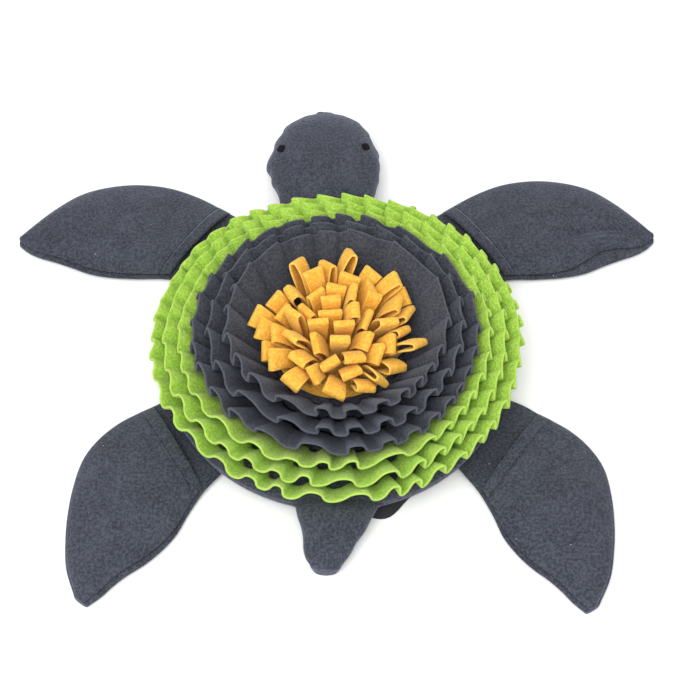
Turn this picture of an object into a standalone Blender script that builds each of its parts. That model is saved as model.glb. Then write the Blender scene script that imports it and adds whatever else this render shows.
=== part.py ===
"""Turtle-shaped snuffle mat, lying flat: a padded round shell covered in rings of ruffled fleece
round a tuft of fleece loops, with a stuffed head and tail and four flippers that are pockets.
Metres, +Z up. The origin is on the floor under the middle of the shell, and the head points to +Y."""

import math
from collections import namedtuple

import bmesh
import bpy
import numpy as np
from mathutils.kdtree import KDTree

# Driving dimensions
FLEECE = 0.0022  # thickness of one layer of fleece
GAP = 0.0004  # left between pieces that are sewn to each other
PAD_RADIUS = 0.160
PAD_BASE = 0.0020  # underside of the pad, on the bottom cloth
PAD_TOP = 0.0310
BOTTOM_CLOTH = 0.0015  # thickness of the cloth under the pad
FLIPPER_THICK = 0.0070  # two layers and a thin wadding
POCKET_ROOM = 0.0095  # height inside a flipper's pocket
LOOP_WIDTH = 0.020
LOOP_HEIGHT = 0.053
LOOPS = 54
TAU = 2 * math.pi

COLOURS = {  # name: linear base colour
    "grey_fleece": (0.075, 0.085, 0.110),
    "charcoal_fleece": (0.052, 0.058, 0.074),
    "green_fleece": (0.330, 0.640, 0.045),
    "yellow_fleece": (0.830, 0.440, 0.050),
    "black_cloth": (0.012, 0.012, 0.014),
    "black_thread": (0.008, 0.008, 0.009),
}
FLEECE_ROUGHNESS = 0.95


def clear_scene():
    for obj in list(bpy.data.objects):
        bpy.data.objects.remove(obj)


def material(name):
    """The named fleece, cloth or thread as a Principled BSDF, made once."""
    made = bpy.data.materials.get(name)
    if made is None:
        made = bpy.data.materials.new(name)
        made.use_nodes = True
        shader = made.node_tree.nodes["Principled BSDF"]
        shader.inputs["Base Color"].default_value = (*COLOURS[name], 1)
        shader.inputs["Roughness"].default_value = FLEECE_ROUGHNESS
        shader.inputs["Metallic"].default_value = 0
    return made


def mesh_object(name, points, faces, finish):
    """A closed mesh as an object of its own, with its faces turned outwards."""
    mesh = bpy.data.meshes.new(name)
    mesh.from_pydata([tuple(p) for p in points], [], faces)
    work = bmesh.new()
    work.from_mesh(mesh)
    bmesh.ops.recalc_face_normals(work, faces=work.faces)
    work.to_mesh(mesh)
    work.free()
    mesh.shade_smooth()
    mesh.materials.append(material(finish))
    obj = bpy.data.objects.new(name, mesh)
    bpy.context.scene.collection.objects.link(obj)
    return obj


def cloth_solid(name, upper, lower, wraps, finish):
    """A sheet from its two faces, grids of the same size, closed round its edges.
    The columns of a sheet that wraps meet again, as a ring's do."""
    rows, columns = upper.shape[:2]
    points = np.concatenate([upper.reshape(-1, 3), lower.reshape(-1, 3)])
    below = rows * columns
    steps = columns if wraps else columns - 1
    faces = []
    for r in range(rows - 1):
        for c in range(steps):
            d = (c + 1) % columns
            a, b = r * columns + c, r * columns + d
            far_a, far_b = a + columns, b + columns
            # Both faces are cut along the same diagonal, so that a twisted fold keeps its thickness.
            for corners in ((a, b, far_a), (b, far_b, far_a)):
                faces.append(list(corners))
                faces.append([below + i for i in reversed(corners)])
    for c in range(steps):
        d = (c + 1) % columns
        for r in (0, (rows - 1) * columns):
            faces.append([r + c, r + d, below + r + d, below + r + c])
    if not wraps:
        for r in range(rows - 1):
            for c in (0, columns - 1):
                a, b = r * columns + c, (r + 1) * columns + c
                faces.append([a, b, below + b, below + a])
    return mesh_object(name, points, faces, finish)


def smoothstep(x):
    x = np.clip(x, 0, 1)
    return x * x * (3 - 2 * x)


def spline(rows, at):
    """Catmull-Rom through a table's rows, read at places counted in rows."""
    rows = np.asarray(rows, float)
    padded = np.concatenate([[2 * rows[0] - rows[1]], rows, [2 * rows[-1] - rows[-2]]])
    i = np.clip(np.floor(at).astype(int), 0, len(rows) - 2)
    t = (np.asarray(at) - i)[:, None]
    a, b, c, d = (padded[i + k] for k in range(4))
    return 0.5 * (2 * b + (c - a) * t + (2 * a - 5 * b + 4 * c - d) * t**2 + (3 * b - a - 3 * c + d) * t**3)


# ---------------------------------------------------------------- the shell's pad and bottom cloth

RIM_POWER = 3.2  # how square the pad's rounded edge is
RIM_MIDDLE = 0.0155
PAD_STEPS = 56


def pad_top(radius):
    """Height of the pad's upper face at a distance from its middle."""
    share = np.clip(np.asarray(radius) / PAD_RADIUS, 0, 1) ** RIM_POWER
    return RIM_MIDDLE + (PAD_TOP - RIM_MIDDLE) * (1 - share) ** (1 / RIM_POWER)


def pad_profile(grow=0.0):
    """(radius, height) down the pad's side, from its upper middle to its lower middle, with each
    point moved out and away from the rim's middle height by grow."""
    radii = PAD_RADIUS * np.array([0.0, 0.70, 0.86, 0.95, 0.992, 1.0])
    upper = np.stack([radii, pad_top(radii)], axis=1)
    lower = [(0.1575, 0.0070), (0.1500, PAD_BASE), (0.0, PAD_BASE)]
    profile = np.concatenate([upper, lower])
    return profile + grow * np.sign(profile - [0.0, RIM_MIDDLE])


def turned(name, profile, finish):
    """A solid turned about the Z axis from a profile whose two ends are on the axis."""
    angles = np.arange(PAD_STEPS) / PAD_STEPS * TAU
    points = [(0, 0, profile[0][1])]
    for radius, height in profile[1:-1]:
        points += [(radius * math.cos(a), radius * math.sin(a), height) for a in angles]
    points.append((0, 0, profile[-1][1]))
    faces = []
    for i in range(PAD_STEPS):
        j = (i + 1) % PAD_STEPS
        faces.append([0, 1 + i, 1 + j])
        for ring in range(len(profile) - 3):
            a, b = 1 + ring * PAD_STEPS, 1 + (ring + 1) * PAD_STEPS
            faces.append([a + i, b + i, b + j, a + j])
        last = 1 + (len(profile) - 3) * PAD_STEPS
        faces.append([last + j, last + i, len(points) - 1])
    return mesh_object(name, points, faces, finish)


def bottom_cloth_radius(angle):
    """The bottom cloth stands out past the pad by an uneven margin, most beside the tail."""
    beside_tail = np.exp(-(((angle - math.radians(285)) / 0.13) ** 2))
    return 0.1525 + 0.0008 * np.sin(3 * angle + 0.8) + 0.0145 * beside_tail


def flat_disc(name, edge, low, high, finish):
    """A flat round solid about the Z axis, with a radius for each of its corners."""
    count = len(edge)
    angles = np.arange(count) / count * TAU
    points = [(r * math.cos(a), r * math.sin(a), z) for z in (low, high) for r, a in zip(edge, angles)]
    faces = [list(range(count)), list(range(count, 2 * count))]
    faces += [[i, (i + 1) % count, count + (i + 1) % count, count + i] for i in range(count)]
    return mesh_object(name, points, faces, finish)


def make_pad():
    turned("shell_pad", pad_profile(), "grey_fleece")
    edge = bottom_cloth_radius(np.arange(48) / 48 * TAU)
    flat_disc("bottom_cloth", edge, 0.0, BOTTOM_CLOTH, "black_cloth")


OVER_BOTTOM_CLOTH = 0.0024


def underside(x, y):
    """Lowest height of what is sewn to the rim: the floor, or just over the bottom cloth's edge."""
    return OVER_BOTTOM_CLOTH * smoothstep((0.196 - np.hypot(x, y)) / 0.018)


def clear_of_pad(obj):
    """Cuts obj back to a seam's gap from the pad."""
    cutter = bpy.data.objects.get("pad_cutter")
    if cutter is None:
        cutter = turned("pad_cutter", pad_profile(2 * GAP), "grey_fleece")
        cutter.hide_render = True
        cutter.display_type = "WIRE"
    cut = obj.modifiers.new("clear of the pad", "BOOLEAN")
    cut.operation = "DIFFERENCE"
    cut.solver = "EXACT"
    cut.object = cutter


# ---------------------------------------------------------------- ruffles

Pleating = namedtuple("Pleating", "finish bulge root_depth root_lap even_lap points")
# bulge: how far a pleat's round overhangs its neck. root_depth, root_lap: share of a pleat's depth and
# lap that is left at the sewn edge. even_lap: share of the lap that is the same all round.
# points: of the mesh, in each pleat.
GREY = Pleating("charcoal_fleece", 0.0040, 0.40, 0.00, 0.0, 6)
GREEN = Pleating("green_fleece", 0.0016, 0.75, 0.75, 0.5, 4)
Ruffle = namedtuple(
    "Ruffle", "name pleating root_radius tip_radius tip_height pleats depth lap slump outward"
)
# depth: how far a pleat swings to either side of the strip's own line at its free edge. lap: how far
# pleats lie over their neighbours. slump: how far the free edge has sunk to SLUMP_ANGLE.
# outward: how much farther a pleat swings out than in.
RUFFLES = (
    Ruffle("grey_ruffle_1", GREY, 0.0645, 0.0995, 0.0770, 21, 0.0052, 0.0052, 0.000, 1.0),
    Ruffle("grey_ruffle_2", GREY, 0.0790, 0.1145, 0.0725, 24, 0.0053, 0.0052, 0.0013, 1.0),
    Ruffle("grey_ruffle_3", GREY, 0.0940, 0.1285, 0.0670, 28, 0.0049, 0.0048, 0.003, 1.0),
    Ruffle("green_ruffle_1", GREEN, 0.1105, 0.1405, 0.0605, 38, 0.0044, 0.0075, 0.003, 1.0),
    Ruffle("green_ruffle_2", GREEN, 0.1265, 0.1545, 0.0560, 42, 0.0048, 0.0080, 0.002, 1.0),
    Ruffle("green_ruffle_3", GREEN, 0.1425, 0.1660, 0.0505, 44, 0.0028, 0.0076, 0.000, 2.8),
)
Stretch = namedtuple("Stretch", "ruffle at spread wider")
# Stretches of a strip with wider or narrower pleats. at, spread: degrees. wider: 1 for twice as wide.
STRETCHES = (
    Stretch("grey_ruffle_1", 20, 24, 1.3),
    Stretch("grey_ruffle_1", 100, 30, 0.3),
    Stretch("grey_ruffle_1", 215, 14, 0.4),
    Stretch("grey_ruffle_1", 310, 35, -0.3),
    Stretch("grey_ruffle_2", 215, 24, 0.4),
    Stretch("grey_ruffle_2", 318, 40, -0.2),
    Stretch("grey_ruffle_3", 238, 20, 0.7),
    Stretch("grey_ruffle_3", 25, 22, 1.0),
    Stretch("grey_ruffle_3", 320, 30, -0.3),
    Stretch("green_ruffle_1", 245, 22, 0.7),
    Stretch("green_ruffle_1", 290, 8, 1.0),
    Stretch("green_ruffle_2", 228, 24, 0.6),
    Stretch("green_ruffle_2", 275, 6, 1.3),
    Stretch("green_ruffle_3", 238, 24, 0.5),
    Stretch("green_ruffle_3", 271, 5, 1.2),
)
ROOT_LIFT = 0.0018  # the strip's sewn edge stands this far off the pad
UNEVEN_PITCH = 0.20  # pleats are this much wider or narrower than the mean
LEAST_DEPTH = 0.66  # share of the depth that the shallowest pleats have
UNEVEN_RISE = 0.0050  # the free edge of some rounds stands this much higher than of others
LEAN_OUT = 0.0006  # and leans this much in or out
CORNER_RISE = 0.0015  # lift of the corner of a pleat that lies over its neighbour
LAP_ANGLE = math.radians(20)  # where round the mat the pleats lap most
SLUMP_ANGLE = math.radians(243)
SHARPEST_MITRE = 0.5  # least share of the cloth's thickness to its corner's, at its sharpest folds


def pleat_angle(phase, ruffle):
    """Angle round the mat of a phase along the strip, with pleats of uneven width."""
    even = (np.arange(ruffle.pleats) + 0.5) / ruffle.pleats * 360
    widths = 1 + UNEVEN_PITCH * np.random.default_rng(ruffle.pleats).uniform(-1, 1, ruffle.pleats)
    for stretch in STRETCHES:
        if stretch.ruffle == ruffle.name:
            away = (even - stretch.at + 180) % 360 - 180
            widths *= 1 + stretch.wider * np.exp(-((away / stretch.spread) ** 2))
    edges = np.concatenate([[0], np.cumsum(widths)]) / widths.sum() * TAU
    return np.interp(phase / TAU, np.arange(ruffle.pleats + 1), edges)


def pleat_share(phase, ruffle, seed):
    """A random share from 0 to 1 for each round of the strip, blended between rounds."""
    rounds = 2 * ruffle.pleats
    shares = np.random.default_rng(rounds + seed).uniform(0, 1, rounds)
    place = phase / math.pi
    before = np.floor(place).astype(int)
    blend = smoothstep(place - before)
    return shares[before % rounds] * (1 - blend) + shares[(before + 1) % rounds] * blend


def ruffle_surface(ruffle, phase, up, reach):
    """The middle of a ruffled strip, at phases along it and a share of the way up it.
    Along the strip a pleat swings out of line with the cosine of its phase, and along the line
    with the sine of twice that, which gives each pleat a round head and a narrow neck. A share of
    the cosine along the line as well lays the pleats over each other like tiles."""
    pleating = ruffle.pleating
    angle = pleat_angle(phase, ruffle)
    droop = 0.0014 * np.sin(2 * angle + 0.6) + 0.0012 * np.sin(5 * angle + 1.9)
    droop = droop + UNEVEN_RISE * (pleat_share(phase, ruffle, 3) - 0.5)
    slump = ruffle.slump * np.cos(angle - SLUMP_ANGLE) + 0.0008 * np.sin(4 * angle)
    slump = slump + LEAN_OUT * (2 * pleat_share(phase, ruffle, 5) - 1)
    tip_radius, tip_height = ruffle.tip_radius + slump, ruffle.tip_height + droop
    root_height = pad_top(ruffle.root_radius) + ROOT_LIFT
    lean = np.arctan2(tip_height - root_height, tip_radius - ruffle.root_radius)
    depth_share = pleating.root_depth + (1 - pleating.root_depth) * up
    lap_share = pleating.root_lap + (1 - pleating.root_lap) * up
    depth = ruffle.depth * (LEAST_DEPTH + (1 - LEAST_DEPTH) * pleat_share(phase, ruffle, 1))
    swing = reach * depth * depth_share * np.cos(phase)
    swing = swing * np.where(swing > 0, ruffle.outward, 1)
    lap = ruffle.lap * (pleating.even_lap + (1 - pleating.even_lap) * np.cos(angle - LAP_ANGLE))
    along = depth_share * pleating.bulge * np.sin(2 * phase) - lap_share * lap * np.cos(phase)
    side = np.clip(2.5 * lap / ruffle.lap, -1, 1)
    rise = -CORNER_RISE * (np.cos(phase) + side * np.sin(phase)) * up
    # The swing is level at the sewn edge and square to the strip at the free edge.
    out = swing * ((1 - up) + up * np.sin(lean)) + rise * np.cos(lean)
    radius = ruffle.root_radius + (tip_radius - ruffle.root_radius) * up + out
    height = root_height + (tip_height - root_height) * up - swing * up * np.cos(lean) + rise * np.sin(lean)
    turn = angle + along / radius
    return np.stack([radius * np.cos(turn), radius * np.sin(turn), height], axis=-1)


def faces_of_cloth(middle, thick):
    """The two faces of a wrapped sheet, half its thickness to either side along its normals."""
    before = middle - np.roll(middle, 1, axis=1)
    before /= np.linalg.norm(before, axis=-1, keepdims=True)
    after = np.roll(before, -1, axis=1)
    normal = np.cross(before + after, np.gradient(middle, axis=0))
    normal /= np.linalg.norm(normal, axis=-1, keepdims=True)
    cosine = (before * after).sum(-1, keepdims=True)
    mitre = np.maximum(np.sqrt((1 + cosine) / 2), SHARPEST_MITRE)
    return middle + normal * thick / 2 / mitre, middle - normal * thick / 2 / mitre


def make_ruffle(ruffle):
    """A strip of fleece, gathered in pleats and sewn by one edge to the pad in a ring."""
    points = ruffle.pleating.points
    phase = (np.arange(ruffle.pleats * points) + 0.5) / points * TAU
    reach = 1 / math.cos(math.pi / points)  # a pleat's flat-topped section reaches its depth
    middle = np.stack([ruffle_surface(ruffle, phase, up, reach) for up in (0.0, 1.0)])
    upper, lower = faces_of_cloth(middle, FLEECE)
    cloth_solid(ruffle.name, upper, lower, True, ruffle.pleating.finish)


# ---------------------------------------------------------------- the tuft of loops

TUFT_RADIUS = 0.0550  # of the sewn ends of the loops
TUFT_BACKING_RADIUS = 0.0565
TUFT_BACKING = 0.0016
LOOP_ROOT = PAD_TOP + GAP + TUFT_BACKING - 0.0006
LOOP_CLOTH = 0.0018  # the loops are of thinner fleece
LOOP_NECK = 0.0015  # half the distance between the middles of a loop's two sewn ends
LOOP_NECK_WIDTH = 0.50  # share of the strip's width that is left where it is sewn down
LOOP_KNEE = 0.80  # share of its height over which a loop bends; above that it is straight
LOOP_FAN = math.radians(56)  # lean of a loop that stands TUFT_RADIUS away from the parting
LOOP_PART_X = -0.008  # the loops lean away from a parting at this place
LOOP_PART_Y = 0.018
MOST_LEAN = 1.25  # radians
LOOP_TWIST = 0.45  # radians that a loop's width is turned from square to its lean
LOOP_CLEAR = 0.0022  # kept between the middles of two loops' cloth
FAR_BELOW = (0.0, 0.0, -1.0)  # a place that no loop reaches
LOOPS_MEET = 2.2 * LOOP_HEIGHT  # loops with roots this close can touch
SHAKES = 12  # rounds in which each loop is placed anew
TRIES = 60
GOLDEN_ANGLE = math.pi * (3 - math.sqrt(5))
# x, y: of the root. way: direction in which the loop leans. twist: of its width from that
# direction. lean: of its straight part. belly: half its widest opening.
Loop = namedtuple("Loop", "x y way twist lean height width belly")


def loop_surface(loop, round_it, across):
    """The middle of a strip folded into a loop, which stands on its sewn ends and leans over.
    round_it goes from -1 to 1 round the fold, and across from -1 to 1 over the strip's width.
    The loop is a teardrop on edge, carried up an arc that leaves the backing square to it and
    then along a straight line."""
    opening = math.pi * round_it
    rise = loop.height * (0.5 + 0.5 * np.cos(opening)) ** 0.8
    aside = np.sign(round_it) * LOOP_NECK + loop.belly * np.sin(opening) * np.cos(opening / 2) ** 0.6
    along = across * loop.width / 2 * (LOOP_NECK_WIDTH + (1 - LOOP_NECK_WIDTH) * rise / loop.height)
    forward = along * math.cos(loop.twist) - aside * math.sin(loop.twist)
    sideways = along * math.sin(loop.twist) + aside * math.cos(loop.twist)
    knee = LOOP_KNEE * loop.height
    lean = loop.lean * np.minimum(rise / knee, 1)
    straight = np.maximum(rise - knee, 0)
    arc = knee / loop.lean
    over = arc * (1 - np.cos(lean)) + straight * np.sin(lean) + forward * np.cos(lean)
    height = LOOP_ROOT + arc * np.sin(lean) + straight * np.cos(lean) - forward * np.sin(lean)
    x = loop.x + over * math.cos(loop.way) - sideways * math.sin(loop.way)
    y = loop.y + over * math.sin(loop.way) + sideways * math.cos(loop.way)
    return np.stack([x, y, height], axis=-1)


def bowl_radius(height):
    """Room inside the inmost ruffle's folds at a height."""
    ruffle = RUFFLES[0]
    rise = (height - PAD_TOP) / (ruffle.tip_height - PAD_TOP)
    line = ruffle.root_radius + (ruffle.tip_radius - ruffle.root_radius) * rise
    root_depth = ruffle.pleating.root_depth
    folds = 1.3 * ruffle.depth * (root_depth + (1 - root_depth) * rise)
    return line - ruffle.slump * rise - folds - LOOP_CLEAR


def has_room(cloth, tree):
    """Whether a loop's cloth stays inside the bowl and clear of the others'."""
    if (np.hypot(cloth[:, 0], cloth[:, 1]) > bowl_radius(cloth[:, 2])).any():
        return False
    return all(tree.find(point)[2] > LOOP_CLEAR for point in cloth.tolist())


def some_loop(chance, x, y, narrowest):
    """A loop with its root at a place: a random lean, mostly away from the parting, twist and size."""
    from_parting = math.dist((x, y), (LOOP_PART_X, LOOP_PART_Y)) / TUFT_RADIUS
    away = math.atan2(y - LOOP_PART_Y, x - LOOP_PART_X)
    return Loop(
        x=x,
        y=y,
        way=away + chance.normal() * max(0.9 - 0.6 * from_parting, 0.25),
        twist=math.pi / 2 + LOOP_TWIST * chance.normal(),
        lean=np.clip(LOOP_FAN * from_parting + chance.normal() * 0.16, 0.05, MOST_LEAN),
        height=LOOP_HEIGHT * chance.uniform(0.75, 1.05),
        width=LOOP_WIDTH * chance.uniform(narrowest, 1.1),
        belly=chance.uniform(0.0020, 0.0050),
    )


def place_loops():
    """The loops' sewn ends follow a sunflower's spiral, and the loops lean away from a parting near
    the middle. Each in turn tries some leans, twists and sizes, and takes what has room."""
    chance = np.random.default_rng(5)
    fold, width = np.meshgrid(np.linspace(-0.97, 0.97, 45), np.linspace(-1, 1, 9), indexing="ij")
    order = chance.permutation(fold.size)
    fold, width = fold.ravel()[order], width.ravel()[order]
    share = np.sqrt((np.arange(LOOPS) + 0.5) / LOOPS) * TUFT_RADIUS
    azimuth = np.arange(LOOPS) * GOLDEN_ANGLE
    roots = np.stack([share * np.cos(azimuth), share * np.sin(azimuth)], axis=-1).tolist()
    loops, cloths = {}, {}
    for _ in range(SHAKES):
        for k, root in enumerate(roots):
            others = [cloths[j] for j in cloths if 0 < math.dist(roots[j], root) < LOOPS_MEET]
            near = np.concatenate([[FAR_BELOW], *others])
            tree = KDTree(len(near))
            for i, point in enumerate(near.tolist()):
                tree.insert(point, i)
            tree.balance()
            for _ in range(TRIES):
                loop = some_loop(chance, *root, 0.85 if k in loops else 0.65)
                cloth = loop_surface(loop, fold, width)
                if has_room(cloth, tree):
                    loops[k], cloths[k] = loop, cloth
                    break
    return list(loops.values())


def make_tuft():
    """Short strips of fleece, each folded into a loop and sewn down by its ends to one backing."""
    fold = np.array([-0.985, -0.76, -0.45, -0.16, 0.16, 0.45, 0.76, 0.985])
    fold, side = np.meshgrid(fold, [-1.0, 1.0], indexing="ij")
    points, faces = [], []
    for loop in place_loops():
        middle = loop_surface(loop, fold, side)
        normal = np.cross(np.gradient(middle, axis=0), middle[:, 1:] - middle[:, :1])
        normal /= np.linalg.norm(normal, axis=-1, keepdims=True)
        half = normal * LOOP_CLOTH / 2
        rings = np.concatenate([middle + half, (middle - half)[:, ::-1]], axis=1)
        first = len(points)
        points += rings.reshape(-1, 3).tolist()
        for r in range(len(fold) - 1):
            a, b = first + 4 * r, first + 4 * (r + 1)
            faces += [[a + c, a + (c + 1) % 4, b + (c + 1) % 4, b + c] for c in range(4)]
        last = first + 4 * (len(fold) - 1)
        faces += [[first + c for c in (3, 2, 1, 0)], [last + c for c in range(4)]]
    strips = mesh_object("loop_strips", points, faces, "yellow_fleece")
    strips.hide_render = True
    strips.display_type = "WIRE"
    low = PAD_TOP + GAP
    tuft = flat_disc("loop_tuft", np.full(28, TUFT_BACKING_RADIUS), low, low + TUFT_BACKING, "yellow_fleece")
    join = tuft.modifiers.new("sewn ends", "BOOLEAN")
    join.operation = "UNION"
    join.solver = "EXACT"
    join.object = strips


# ---------------------------------------------------------------- flippers

Rib = namedtuple("Rib", "long_x long_y short_x short_y room")
# Ribs across a flipper from its long curved edge to its short one, with x along the flipper from
# the middle of the hem. room: share of the pocket's height over that rib.
FRONT_RIBS = (
    Rib(-0.065, -0.002, -0.026, -0.061, 0.00),
    Rib(-0.050, 0.027, -0.004, -0.052, 0.00),
    Rib(-0.029, 0.041, 0.028, -0.041, 0.86),
    Rib(0.003, 0.061, 0.058, -0.041, 1.00),
    Rib(0.035, 0.074, 0.084, -0.040, 1.00),
    Rib(0.068, 0.078, 0.106, -0.036, 0.96),
    Rib(0.098, 0.074, 0.126, -0.028, 0.88),
    Rib(0.124, 0.064, 0.142, -0.022, 0.76),
    Rib(0.146, 0.046, 0.157, -0.017, 0.58),
    Rib(0.164, 0.026, 0.169, -0.011, 0.36),
    Rib(0.177, 0.009, 0.1785, -0.003, 0.15),
)
REAR_RIBS = (
    Rib(-0.062, 0.018, -0.020, -0.052, 0.00),
    Rib(-0.046, 0.033, 0.004, -0.046, 0.00),
    Rib(-0.031, 0.044, 0.028, -0.040, 0.86),
    Rib(-0.008, 0.061, 0.052, -0.038, 1.00),
    Rib(0.016, 0.071, 0.074, -0.038, 1.00),
    Rib(0.042, 0.074, 0.093, -0.034, 0.96),
    Rib(0.070, 0.068, 0.111, -0.027, 0.88),
    Rib(0.097, 0.058, 0.127, -0.018, 0.76),
    Rib(0.121, 0.046, 0.141, -0.012, 0.60),
    Rib(0.143, 0.032, 0.153, -0.008, 0.40),
    Rib(0.162, 0.013, 0.165, -0.002, 0.15),
)
Flipper = namedtuple("Flipper", "name ribs x y turn length width mirrored")
# x, y: middle of the pocket's hem. turn: degrees from +X to the flipper's own length.
FLIPPERS = (
    Flipper("front_left", FRONT_RIBS, -0.135, 0.140, 178.9, 1.00, 1.00, False),
    Flipper("front_right", FRONT_RIBS, 0.135, 0.140, 2.4, 1.00, 1.05, True),
    Flipper("rear_left", REAR_RIBS, -0.142, -0.095, -114.7, 1.00, 1.00, False),
    Flipper("rear_right", REAR_RIBS, 0.155, -0.100, -69.8, 0.975, 1.00, True),
)
HEM_RIB = 2
HEM_THICK = 0.0036
PANEL_ROWS = 14
POCKET_ROWS = 12
SEAM_INSET = 0.0015  # the pocket is sewn on this far inside the flipper's edge


def placed(flipper, x, y, z):
    """A point of the pattern, turned and moved to its flipper's place."""
    angle = math.radians(flipper.turn)
    long, wide = flipper.length * x, flipper.width * (y if flipper.mirrored else -y)
    east = flipper.x + long * math.cos(angle) - wide * math.sin(angle)
    north = flipper.y + long * math.sin(angle) + wide * math.cos(angle)
    return np.stack([east, north, z], axis=-1)


def flipper_grid(ribs, rows, columns, inset):
    """x, y, room and share across (from -1 to 1) over the pattern, drawn in at its edges."""
    ribs = spline(ribs, np.linspace(0, len(ribs) - 1, rows))
    share = np.linspace(-1, 1, columns)[None, :]
    long_edge, short_edge = ribs[:, None, 0:2], ribs[:, None, 2:4]
    middle, reach = (long_edge + short_edge) / 2, (long_edge - short_edge) / 2
    length = np.linalg.norm(reach, axis=-1, keepdims=True)
    place = middle + reach * (1 - inset / length) * share[..., None]
    place[-1, :, 0] -= inset
    return place[..., 0], place[..., 1], np.clip(ribs[:, 4:5], 0, 1), np.repeat(share, rows, 0)


def make_flipper(flipper):
    """The flipper's own two-layer panel, sewn under the pad's rim, and the pocket sewn on top of it."""
    x, y, _, share = flipper_grid(flipper.ribs, PANEL_ROWS, 7, 0.0)
    at_edge = np.abs(share) ** 6
    at_edge[-1] = 1
    drawn_in = 0.32 * FLIPPER_THICK * at_edge
    spot = placed(flipper, x, y, np.zeros_like(x))
    low = np.maximum(underside(spot[..., 0], spot[..., 1]), drawn_in)
    lower, upper = placed(flipper, x, y, low), placed(flipper, x, y, FLIPPER_THICK - drawn_in)
    panel = cloth_solid(f"{flipper.name}_flipper", upper, lower, False, "grey_fleece")
    clear_of_pad(panel)

    x, y, room, share = flipper_grid(flipper.ribs[HEM_RIB:], POCKET_ROWS, 9, SEAM_INSET)
    swell = POCKET_ROOM * room * (1 - np.abs(share) ** 2.6)
    inside = FLIPPER_THICK + GAP + swell
    thick = np.full((POCKET_ROWS, 1), FLEECE)
    thick[:2] = HEM_THICK
    outside = inside + thick
    lower, upper = placed(flipper, x, y, inside), placed(flipper, x, y, outside)
    cloth_solid(f"{flipper.name}_pocket", upper, lower, False, "grey_fleece")


# ---------------------------------------------------------------- head, eyes and tail

Section = namedtuple("Section", "y left right top seam")
# Sections across a stuffed piece: its two sides, its upper face and the height of its side seam.
HEAD = (
    Section(0.1480, -0.048, 0.032, 0.0225, 0.0130),
    Section(0.1620, -0.051, 0.034, 0.0290, 0.0150),
    Section(0.1760, -0.055, 0.036, 0.0360, 0.0165),
    Section(0.1950, -0.061, 0.039, 0.0420, 0.0170),
    Section(0.2150, -0.068, 0.043, 0.0455, 0.0175),
    Section(0.2320, -0.071, 0.045, 0.0465, 0.0180),
    Section(0.2520, -0.066, 0.040, 0.0450, 0.0180),
    Section(0.2700, -0.060, 0.034, 0.0415, 0.0175),
    Section(0.2850, -0.051, 0.026, 0.0360, 0.0170),
    Section(0.2960, -0.039, 0.014, 0.0295, 0.0160),
    Section(0.3030, -0.025, 0.003, 0.0225, 0.0150),
)
TAIL = (
    Section(-0.1450, -0.037, 0.038, 0.0215, 0.0130),
    Section(-0.1570, -0.036, 0.036, 0.0245, 0.0140),
    Section(-0.1660, -0.034, 0.032, 0.0285, 0.0145),
    Section(-0.1800, -0.030, 0.025, 0.0270, 0.0140),
    Section(-0.1930, -0.029, 0.017, 0.0245, 0.0130),
    Section(-0.2050, -0.027, 0.010, 0.0215, 0.0120),
    Section(-0.2120, -0.023, 0.005, 0.0180, 0.0105),
)
STUFFED_STEPS = 20
FLAT_UNDERSIDE = 0.62  # share of the width that lies on the floor
END_BULGE = 0.005


def stuffed_solid(name, sections, finish):
    """A loft through rounded sections that are full above, flat below and drawn in at the side seam."""
    angles = (np.arange(STUFFED_STEPS) + 0.5) / STUFFED_STEPS * TAU
    cosine, sine = np.cos(angles), np.sin(angles)
    points = []
    for s in sections:
        across = np.sign(cosine) * np.abs(cosine) ** 0.80
        x = (s.left + s.right) / 2 + (s.right - s.left) / 2 * across
        above = s.seam + (s.top - s.seam) * np.abs(sine) ** 0.85
        below = s.seam * np.clip(1 - (1 - np.abs(cosine) ** 2.2) / FLAT_UNDERSIDE, 0, 1)
        z = np.where(sine > 0, above, np.maximum(below, underside(x, s.y)))
        points += np.stack([x, np.full_like(x, s.y), z], axis=1).tolist()
    n = STUFFED_STEPS
    rows = len(sections)
    steps = [(i, (i + 1) % n) for i in range(n)]
    faces = [[r + c, r + d, r + n + d, r + n + c] for r in range(0, (rows - 1) * n, n) for c, d in steps]
    for r, s, bulge in ((0, sections[0], 0.0), (rows - 1, sections[-1], END_BULGE)):
        out = math.copysign(bulge, sections[-1].y)
        points.append([(s.left + s.right) / 2, s.y + out, (s.top + s.seam) / 2.4])
        faces += [[r * n + c, r * n + d, len(points) - 1] for c, d in steps]
    return mesh_object(name, points, faces, finish)


Eye = namedtuple("Eye", "name x y turn")
EYES = (
    Eye("eye_left", -0.0565, 0.2385, 12),
    Eye("eye_right", 0.0290, 0.2405, -20),
)
EYE_HALF_WIDTH = 0.0042
EYE_HALF_LENGTH = 0.0062
EYE_THICK = 0.0010
EYE_GAP = 0.0005
ABOVE_HEAD = 0.08


def make_eye(eye, head):
    """A patch of satin stitch, a blunt diamond that follows the head's upper face."""
    angles = np.arange(8) / 8 * TAU
    reach = np.where(np.arange(8) % 2 == 0, 1.0, 0.82)
    outline = np.stack([EYE_HALF_WIDTH * reach * np.cos(angles), EYE_HALF_LENGTH * reach * np.sin(angles)], 1)
    outline = np.concatenate([outline, [[0, 0]]])
    turn = math.radians(eye.turn)
    points = []
    for lift, size in ((EYE_GAP, 1.0), (EYE_GAP + EYE_THICK, 0.85)):
        for u, v in outline * size:
            x = eye.x + u * math.cos(turn) - v * math.sin(turn)
            y = eye.y + u * math.sin(turn) + v * math.cos(turn)
            place, normal = head.ray_cast((x, y, ABOVE_HEAD), (0, 0, -1))[1:3]
            points.append(place + lift * normal)
    faces = []
    for i in range(8):
        j = (i + 1) % 8
        faces += [[j, i, 8], [9 + i, 9 + j, 17], [i, j, 9 + j, 9 + i]]
    mesh_object(eye.name, points, faces, "black_thread")


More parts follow.
